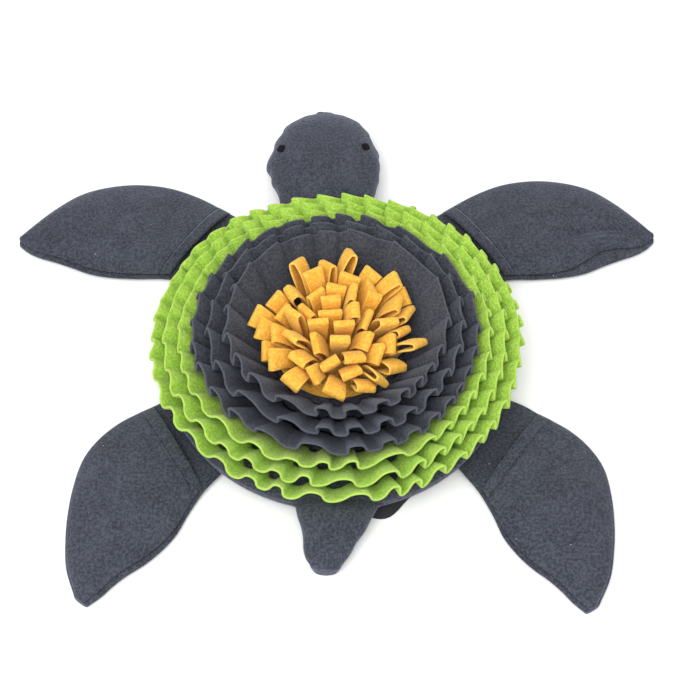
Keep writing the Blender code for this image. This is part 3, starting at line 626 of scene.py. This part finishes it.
def loops_cloth(loops):
    """All the loops' skins: round each strip's section, which is its two faces with half-round
    edges, at stations round the fold."""
    all_loops = Loop(*np.array(loops).T[:, :, None, None])
    fold = np.linspace(-0.985, 0.985, 32)[:, None]
    across = np.linspace(-0.94, 0.94, 5)
    middle = loop_surface(all_loops, fold, across)
    normal = unit(np.cross(np.gradient(middle, axis=1), np.gradient(middle, axis=2)))
    outward = unit(middle[:, :, -1] - middle[:, :, 0])[:, :, None]
    half_round = np.linspace(0, math.pi, 5)[1:-1]
    column = np.concatenate([np.arange(5), np.full(3, 4), np.arange(5)[::-1], np.full(3, 0)])
    side = np.concatenate([np.ones(5), np.cos(half_round), -np.ones(5), -np.cos(half_round)])[:, None]
    out = np.concatenate([np.zeros(5), np.sin(half_round), np.zeros(5), -np.sin(half_round)])[:, None]
    skin = middle[:, :, column] + LOOP_CLOTH / 2 * (side * normal[:, :, column] + out * outward)
    return skin, np.abs(out[:, 0])


yellow_fleece = fleece("yellow_nap", YELLOW, YELLOW_PALE, YELLOW_CUT_SHEEN, sheen=0.4, nap=0.0030)
loops = place_loops()
skin, cut = loops_cloth(loops)
loop_tuft = closed_mesh("loops", skin, yellow_fleece, edge=cut)
low = PAD_TOP + SEAM_GAP
high = low + TUFT_BACKING
profile = [(0.01, high), (0.99, high), (1.0, (low + high) / 2), (0.99, low), (0.01, low)]
edge = np.full(96, TUFT_BACKING_RADIUS)
backing = closed_mesh("loop_backing", flat_round(edge, profile), yellow_fleece)
for piece in (loop_tuft, backing):
    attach(piece, "root")
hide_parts("loop_tuft")

# ---------------------------------------------------------------- flippers and their pockets
# Each flipper is two layers of grey fleece sewn and turned, with one end sewn under the shell's rim.
# A third layer is sewn on top of it round three sides as a pocket, with a hem at its mouth.

FLIPPER_THICK = 0.0070
POCKET_ROOM = 0.0095
HEM_THICK = 0.0036
HEM_WIDTH = 0.0135
HEM_STITCHES = 0.002  # the line of stitches lies this far inside the hem's edge
HEM_GROOVE = 0.0007
HEM_GROOVE_WIDTH = 0.0012
HEM_STITCH_WIDTH = 0.0008
POCKET_UNEVEN = 0.0009
POCKET_WAVE = 0.07
TUCK_AT = 0.62  # share of the way from the hem to the tip
TUCK_SPREAD = 0.20
ROLL = 0.45  # height of the rolled edge, as a share of how far it has rolled in
ROLL_CREST = (-0.78, 0.13)  # middle and width, in halves of the pocket's width from its middle
ROLL_CREASE = (-0.42, 0.10)
ROLL_CREASE_DEPTH = 0.6  # share of the crest's height
OVER_BOTTOM_CLOTH = 0.0024
LIFT_START = 0.196  # distance from the middle at which the underside starts to rise, going in
LIFT_RUN = 0.018
Rib = namedtuple("Rib", "long_x long_y short_x short_y room")
# Ribs across a flipper from its long curved edge to its short one, with x along the flipper from
# the middle of the hem. room: share of the pocket's height over that rib.
FRONT_RIBS = (
    Rib(-0.065, -0.002, -0.026, -0.061, 0.00),
    Rib(-0.050, 0.027, -0.004, -0.052, 0.00),
    Rib(-0.029, 0.041, 0.028, -0.041, 0.86),
    Rib(0.003, 0.061, 0.058, -0.041, 1.00),
    Rib(0.035, 0.074, 0.084, -0.040, 1.00),
    Rib(0.068, 0.078, 0.106, -0.036, 0.96),
    Rib(0.098, 0.074, 0.126, -0.028, 0.88),
    Rib(0.124, 0.064, 0.142, -0.022, 0.76),
    Rib(0.146, 0.046, 0.157, -0.017, 0.58),
    Rib(0.164, 0.026, 0.169, -0.011, 0.36),
    Rib(0.177, 0.009, 0.1785, -0.003, 0.15),
)
REAR_RIBS = (
    Rib(-0.062, 0.018, -0.020, -0.052, 0.00),
    Rib(-0.046, 0.033, 0.004, -0.046, 0.00),
    Rib(-0.031, 0.044, 0.028, -0.040, 0.86),
    Rib(-0.008, 0.061, 0.052, -0.038, 1.00),
    Rib(0.016, 0.071, 0.074, -0.038, 1.00),
    Rib(0.042, 0.074, 0.093, -0.034, 0.96),
    Rib(0.070, 0.068, 0.111, -0.027, 0.88),
    Rib(0.097, 0.058, 0.127, -0.018, 0.76),
    Rib(0.121, 0.046, 0.141, -0.012, 0.60),
    Rib(0.143, 0.032, 0.153, -0.008, 0.40),
    Rib(0.162, 0.013, 0.165, -0.002, 0.15),
)
Flipper = namedtuple("Flipper", "name ribs x y turn length width mirrored tuck")
# x, y: middle of the pocket's hem. turn: degrees from +X to the flipper's own length.
# tuck: how far the pocket's short edge has rolled in, at TUCK_AT.
FLIPPERS = (
    Flipper("front_left", FRONT_RIBS, -0.135, 0.140, 178.9, 1.00, 1.00, False, 0.0010),
    Flipper("front_right", FRONT_RIBS, 0.135, 0.140, 2.4, 1.00, 1.05, True, 0.0110),
    Flipper("rear_left", REAR_RIBS, -0.142, -0.095, -114.7, 1.00, 1.00, False, 0.0015),
    Flipper("rear_right", REAR_RIBS, 0.155, -0.100, -69.8, 0.975, 1.00, True, 0.0005),
)
HEM_RIB = 2
SEAM_INSET = 0.0030
TIP_ROUND = 0.0015
ACROSS = 72


def spline(rows, at):
    """Catmull-Rom through a table's rows, read at places counted in rows."""
    rows = np.asarray(rows, float)
    padded = np.concatenate([[2 * rows[0] - rows[1]], rows, [2 * rows[-1] - rows[-2]]])
    i = np.clip(np.floor(at).astype(int), 0, len(rows) - 2)
    t = (np.asarray(at) - i)[:, None]
    a, b, c, d = (padded[i + k] for k in range(4))
    return 0.5 * (2 * b + (c - a) * t + (2 * a - 5 * b + 4 * c - d) * t**2 + (3 * b - a - 3 * c + d) * t**3)


def placed(flipper, x, y, z):
    """A point of the pattern, turned and moved to its flipper's place."""
    angle = math.radians(flipper.turn)
    long, wide = flipper.length * x, flipper.width * (y if flipper.mirrored else -y)
    east = flipper.x + long * math.cos(angle) - wide * math.sin(angle)
    north = flipper.y + long * math.sin(angle) + wide * math.cos(angle)
    return np.stack([east, north, z], axis=-1)


def underside(x, y):
    """Lowest height of what is sewn to the rim: the floor, or just over the bottom cloth's edge."""
    return OVER_BOTTOM_CLOTH * smoothstep((LIFT_START - np.hypot(x, y)) / LIFT_RUN)


def clear_of_rim(points):
    """Points that would be inside the pad, moved straight out to a seam's gap from its side."""
    x, y, z = np.moveaxis(points, -1, 0)
    radius = np.hypot(x, y)
    out = np.maximum(1, (rim_radius(z) + 2 * SEAM_GAP) / np.maximum(radius, 1e-6))
    return np.stack([x * out, y * out, z], axis=-1)


def flipper_pattern(ribs, at, closing, across, inset):
    """x and y over the pattern at places along the ribs and across them. closing, from 0 to a
    quarter turn, rounds the tip: the ribs shrink with its cosine as they move out with its sine."""
    ribs = spline(ribs, at)[:, None]
    middle, reach = (ribs[..., 0:2] + ribs[..., 2:4]) / 2, (ribs[..., 0:2] - ribs[..., 2:4]) / 2
    length = np.linalg.norm(reach, axis=-1, keepdims=True)
    narrow = np.cos(closing)[:, None, None]
    place = middle + reach * (1 - inset / length) * across[:, None] * narrow
    x = place[..., 0] + TIP_ROUND * np.sin(closing)[:, None]
    return x, place[..., 1], np.clip(ribs[..., 4], 0, 1)


def panel_surface(flipper):
    """The two-layer panel: round each rib, over the upper face and back under the lower one. Its
    thickness falls to nothing at the seam as a superellipse does."""
    ribs = flipper.ribs
    at = np.concatenate([np.linspace(0, len(ribs) - 1, 60), np.full(5, len(ribs) - 1.0)])
    closing = np.concatenate([np.zeros(60), np.linspace(0.3, 1.53, 5)])
    around = (np.arange(2 * ACROSS) + 0.5) / (2 * ACROSS) * TAU
    across = np.sign(np.cos(around)) * np.abs(np.cos(around)) ** 0.7
    x, y, _ = flipper_pattern(ribs, at, closing, across, 0.0)
    spot = placed(flipper, x, y, 0 * x)
    low = underside(spot[..., 0], spot[..., 1])
    full = np.sqrt(1 - np.abs(across) ** 7) * np.sqrt(np.cos(closing))[:, None]
    middle = (low + FLIPPER_THICK) / 2
    z = middle + np.sign(np.sin(around)) * (FLIPPER_THICK - low) / 2 * full
    return clear_of_rim(placed(flipper, x, y, z))[None]


def pocket_surface(flipper):
    """The pocket's panel, which swells over its room between the side seams. Its first part is
    doubled as a hem, with a groove where the hem is stitched down."""
    ribs = flipper.ribs[HEM_RIB:]
    fine = np.linspace(0, len(ribs) - 1, 200)
    line = spline(ribs, fine)
    middle_line = (line[:, 0:2] + line[:, 2:4]) / 2
    run = np.concatenate([[0], np.cumsum(np.linalg.norm(np.diff(middle_line, axis=0), axis=1))])
    mouth = HEM_THICK / 2 * (1 - np.cos(np.linspace(0.25, math.pi / 2, 5)))
    steps = np.concatenate([mouth, np.linspace(0.0026, 0.020, 24), np.linspace(0.0225, run[-1], 52)])
    at = np.interp(steps, run, fine)
    at, steps = np.concatenate([at, np.full(4, at[-1])]), np.concatenate([steps, np.full(4, run[-1])])
    closing = np.concatenate([np.zeros(len(at) - 4), np.linspace(0.4, 1.53, 4)])
    around = (np.arange(2 * ACROSS) + 0.5) / (2 * ACROSS) * TAU
    across = np.sign(np.cos(around)) * np.abs(np.cos(around)) ** 0.7
    x, y, room = flipper_pattern(ribs, at, closing, across, SEAM_INSET)
    along = (steps / run[-1])[:, None]
    tucked = flipper.tuck * bell(along, TUCK_AT, TUCK_SPREAD)
    y = y + tucked * ((1 - across) / 2) ** 3
    crest, crease = bell(across, *ROLL_CREST), bell(across, *ROLL_CREASE)
    rolled = ROLL * tucked * (crest - ROLL_CREASE_DEPTH * crease)
    swell = POCKET_ROOM * room * (1 - np.abs(across) ** 2.6) * np.cos(closing)[:, None] + rolled
    swell = swell + POCKET_UNEVEN * uneven(x, y, POCKET_WAVE, 11) * room * (1 - across**4)
    hem = smoothstep((HEM_WIDTH - steps) / 0.0012)[:, None]
    thick = FLEECE + (HEM_THICK - FLEECE) * hem
    rounding = np.sqrt(1 - (1 - np.clip(steps / (HEM_THICK / 2), 0, 1)) ** 2)[:, None]
    full = np.sqrt(1 - np.abs(across) ** 12) * np.maximum(rounding, 0.12) * np.sqrt(np.cos(closing))[:, None]
    past_hem = steps - HEM_WIDTH
    groove = HEM_GROOVE * bell(past_hem, -HEM_STITCHES, HEM_GROOVE_WIDTH)[:, None]
    upper = np.sin(around) > 0
    z = FLIPPER_THICK + SEAM_GAP + swell + thick / 2 + np.where(upper, 1, -1) * thick / 2 * full
    stitch = bell(past_hem, -HEM_STITCHES, HEM_STITCH_WIDTH)[:, None] * upper
    return placed(flipper, x, y, z - groove * upper)[None], stitch[None]


for flipper in FLIPPERS:
    panel = closed_mesh(f"{flipper.name}_panel", panel_surface(flipper), grey_fleece)
    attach(panel, "root")
    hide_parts(f"{flipper.name}_flipper")
    skin, stitch = pocket_surface(flipper)
    cover = closed_mesh(f"{flipper.name}_cover", skin, grey_fleece, stitch=stitch)
    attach(cover, "root")
    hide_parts(f"{flipper.name}_pocket")

# ---------------------------------------------------------------- head, eyes and tail
# Two stuffed pieces of grey fleece, sewn to the shell's rim. Each has a side seam that puckers the
# cloth. The eyes are small patches of black satin stitch.

Section = namedtuple("Section", "y left right top seam")
# Sections across a stuffed piece: its two sides, its upper face and the height of its side seam.
HEAD = (
    Section(0.1480, -0.048, 0.032, 0.0225, 0.0130),
    Section(0.1620, -0.051, 0.034, 0.0290, 0.0150),
    Section(0.1760, -0.055, 0.036, 0.0360, 0.0165),
    Section(0.1950, -0.061, 0.039, 0.0420, 0.0170),
    Section(0.2150, -0.068, 0.043, 0.0455, 0.0175),
    Section(0.2320, -0.071, 0.045, 0.0465, 0.0180),
    Section(0.2520, -0.066, 0.040, 0.0450, 0.0180),
    Section(0.2700, -0.060, 0.034, 0.0415, 0.0175),
    Section(0.2850, -0.051, 0.026, 0.0360, 0.0170),
    Section(0.2960, -0.039, 0.014, 0.0295, 0.0160),
    Section(0.3030, -0.025, 0.003, 0.0225, 0.0150),
)
TAIL = (
    Section(-0.1450, -0.037, 0.038, 0.0215, 0.0130),
    Section(-0.1570, -0.036, 0.036, 0.0245, 0.0140),
    Section(-0.1660, -0.034, 0.032, 0.0285, 0.0145),
    Section(-0.1800, -0.030, 0.025, 0.0270, 0.0140),
    Section(-0.1930, -0.029, 0.017, 0.0245, 0.0130),
    Section(-0.2050, -0.027, 0.010, 0.0215, 0.0120),
    Section(-0.2120, -0.023, 0.005, 0.0180, 0.0105),
)
Stuffed = namedtuple("Stuffed", "name sections pucker fill")
# pucker: how deep the cloth is drawn in along the seam.
STUFFED = (
    Stuffed("head", HEAD, 0.0024, 0.6),
    Stuffed("tail", TAIL, 0.0005, 0.5),
)
FLAT_UNDERSIDE = 0.62  # share of the width that lies on the floor
FULL_ACROSS = 0.80  # how full a section is: 1 is a plain ellipse, less is nearer a box
FULL_ABOVE = 0.85
PUCKER_SIZE = 0.016
PUCKER_REACH = 0.010  # height above and below the seam
END_ROUND = 0.005


def stuffed_surface(sections, pucker, rows=70, around=120):
    """A loft through sections that are full above, flat below and drawn in at the side seam. The
    free end closes as a quarter ellipse, and the cloth puckers towards the seam."""
    at = np.concatenate([np.linspace(0, len(sections) - 1, rows), np.full(8, len(sections) - 1.0)])
    closing = np.concatenate([np.zeros(rows), np.linspace(0.2, 1.52, 8)])[:, None]
    y, left, right, top, seam = spline(sections, at).T[:, :, None]
    angle = (np.arange(around) + 0.5) / around * TAU
    cosine, sine = np.cos(angle), np.sin(angle)
    across = np.sign(cosine) * np.abs(cosine) ** FULL_ACROSS * np.cos(closing)
    y = y + math.copysign(END_ROUND, sections[-1].y) * np.sin(closing) + 0 * angle
    x = (left + right) / 2 + (right - left) / 2 * across
    above = seam + (top - seam) * np.abs(sine) ** FULL_ABOVE * np.cos(closing) ** 0.7
    below = seam * np.clip(1 - (1 - np.abs(cosine) ** 2.2) / FLAT_UNDERSIDE * np.cos(closing), 0, 1)
    z = np.where(sine > 0, above, np.maximum(below, underside(x, y)))
    near_seam = bell(z, seam, PUCKER_REACH) * np.abs(cosine) ** 0.5
    # The puckers are deepest round the free end, and shallow along the straight sides.
    toward_end = smoothstep((y - sections[0].y) / (sections[-1].y - sections[0].y) * 1.6 - 0.4)
    draw = pucker * (0.6 + uneven(x, y, PUCKER_SIZE, 3)) * near_seam * (0.35 + 0.65 * toward_end)
    middle_x, middle_y = (left + right) / 2, sections[len(sections) // 2].y
    away = unit(np.stack([x - middle_x, 0.4 * (y - middle_y)], axis=-1))
    return clear_of_rim(np.stack([x - draw * away[..., 0], y - draw * away[..., 1], z], axis=-1))[None]


for piece in STUFFED:
    skin = stuffed_surface(piece.sections, piece.pucker)
    cushion = closed_mesh(f"{piece.name}_cushion", skin, grey_fleece)
    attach(cushion, "root")
    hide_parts(piece.name)

Eye = namedtuple("Eye", "name x y turn")
EYES = (Eye("eye_left", -0.0565, 0.2385, 12), Eye("eye_right", 0.0290, 0.2405, -20))
EYE_HALF_WIDTH = 0.0042
EYE_HALF_LENGTH = 0.0062
EYE_THICK = 0.0012
THREAD = 0.0004
THREAD_DEPTH = 0.00015
BLACK_THREAD = (0.004, 0.004, 0.005)


def head_height(x, y):
    """Height of the head's upper face over a point of the floor."""
    at = np.interp(y, [s.y for s in HEAD], np.arange(len(HEAD)))
    _, left, right, top, seam = spline(HEAD, at.ravel()).reshape(*at.shape, 5).transpose(2, 0, 1)
    cosine = np.abs((2 * x - left - right) / (right - left)) ** (1 / FULL_ACROSS)
    return seam + (top - seam) * np.sqrt(1 - np.clip(cosine, 0, 1) ** 2) ** FULL_ABOVE


def eye_surface(eye):
    """A low dome of thread laid side by side, over a blunt diamond. Stations go from its middle out
    over the top and back underneath."""
    out = np.array([0.02, 0.2, 0.4, 0.6, 0.8, 0.93, 1.0, 1.0, 0.9, 0.5, 0.02])[:, None]
    lift = np.array([1.0, 0.98, 0.93, 0.85, 0.7, 0.5, 0.25, 0.0, 0.0, 0.0, 0.0])[:, None]
    angle = np.arange(48) / 48 * TAU
    reach = 1 - 0.13 * (0.5 - 0.5 * np.cos(4 * angle))
    u, v = EYE_HALF_WIDTH * reach * out * np.cos(angle), EYE_HALF_LENGTH * reach * out * np.sin(angle)
    turn = math.radians(eye.turn)
    x = eye.x + u * math.cos(turn) - v * math.sin(turn)
    y = eye.y + u * math.sin(turn) + v * math.cos(turn)
    return np.stack([x, y, head_height(x, y) + SEAM_GAP + EYE_THICK * lift], axis=-1)[None]


def satin_stitch(name, colour):
    """Thread laid side by side along the object's Y."""
    made, surface, place = bare_material(name, 0.8)
    surface.inputs["Specular IOR Level"].default_value = 0.1
    x = place.node("ShaderNodeSeparateXYZ", {}, {0: place}, "X")
    threads = (x * (TAU / THREAD)).math("SINE", x * (TAU / THREAD)) * 0.5 + 0.5
    finish_material(surface, threads.mix(colour, tuple(3 * c for c in colour)), threads, THREAD_DEPTH)
    return made


black_thread = satin_stitch("satin_stitch", BLACK_THREAD)
for eye in EYES:
    patch = closed_mesh(f"{eye.name}_stitching", eye_surface(eye), black_thread)
    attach(patch, "root")
    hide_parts(eye.name)

# ---------------------------------------------------------------- floor and light
# A plain white floor under a white sky and one large soft light, above and on the camera's side.

FLOOR_WHITE = (0.95, 0.95, 0.95)
FLOOR_SIZE = 12.0
FLOOR_HEIGHT = -0.0002  # just under the mat
SKY_STRENGTH = 0.95
KEY_PLACE = Vector((-0.4, -1.0, 1.8))
KEY_SIZE = 1.6
KEY_POWER = 32

half = FLOOR_SIZE / 2
floor_mesh = bpy.data.meshes.new("floor")
floor_corners = [(-half, -half, 0), (half, -half, 0), (half, half, 0), (-half, half, 0)]
floor_mesh.from_pydata(floor_corners, [], [(0, 1, 2, 3)])
floor = bpy.data.objects.new("floor", floor_mesh)
floor.location.z = FLOOR_HEIGHT
bpy.context.scene.collection.objects.link(floor)
floor_paint, surface, place = bare_material("white_floor", 0.9)
surface.inputs["Base Color"].default_value = (*FLOOR_WHITE, 1)
floor_mesh.materials.append(floor_paint)

sky = bpy.data.worlds.new("sky")
sky.use_nodes = True
sky.node_tree.nodes["Background"].inputs["Color"].default_value = (1, 1, 1, 1)
sky.node_tree.nodes["Background"].inputs["Strength"].default_value = SKY_STRENGTH
bpy.context.scene.world = sky
bpy.context.scene.view_settings.view_transform = "Standard"

key = bpy.data.lights.new("key", "AREA")
key.size = KEY_SIZE
key.energy = KEY_POWER
key_light = bpy.data.objects.new("key", key)
key_light.location = KEY_PLACE
key_light.rotation_euler = KEY_PLACE.to_track_quat("Z", "Y").to_euler()
bpy.context.scene.collection.objects.link(key_light)
